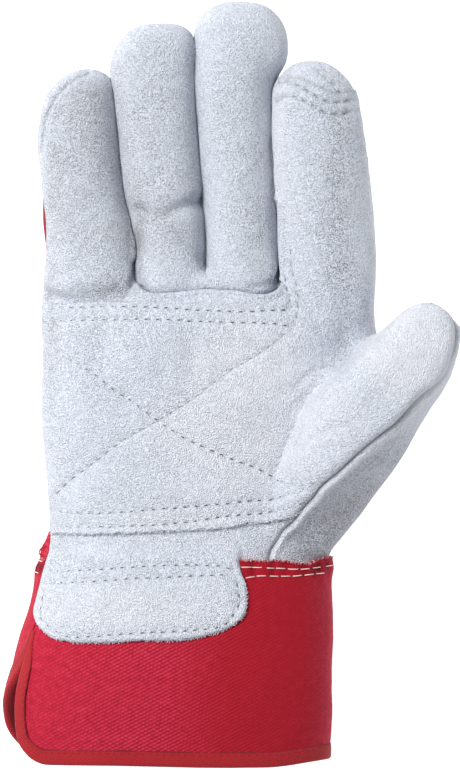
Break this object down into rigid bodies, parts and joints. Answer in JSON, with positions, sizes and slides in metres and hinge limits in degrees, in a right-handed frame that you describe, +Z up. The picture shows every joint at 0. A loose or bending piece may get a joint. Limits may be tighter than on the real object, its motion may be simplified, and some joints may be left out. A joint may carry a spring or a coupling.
{
  "type": "leather work glove",
  "caption": "Right-hand work glove in grey split leather with a patched palm, a red drill back and a split, tape-bound safety cuff, lying palm up.",
  "frame": {"origin": "on the surface that the glove lies on, under the middle of its box", "axes": "+Z up out of the palm, +Y toward the fingertips, +X toward the thumb"},
  "size_m": [0.1561, 0.2598, 0.0572],
  "materials": {
    "leather": "grey split leather with a short soft nap, unpolished",
    "drill": "red cotton drill with a fine diagonal twill",
    "tape": "red cotton binding tape, folded over the edge",
    "thread": "twisted cotton sewing thread, grey on the leather and pale on the drill"
  },
  "bodies": {
    "root": {"palm_leather": "leather", "finger_panel": "leather", "palm_patch": "leather", "thumb_back": "leather", "index_back": "leather", "tip_little": "leather", "tip_ring": "leather", "tip_middle": "leather", "back_cloth": "drill", "cuff": "drill", "cuff_binding": "tape"}
  },
  "joints": []
}
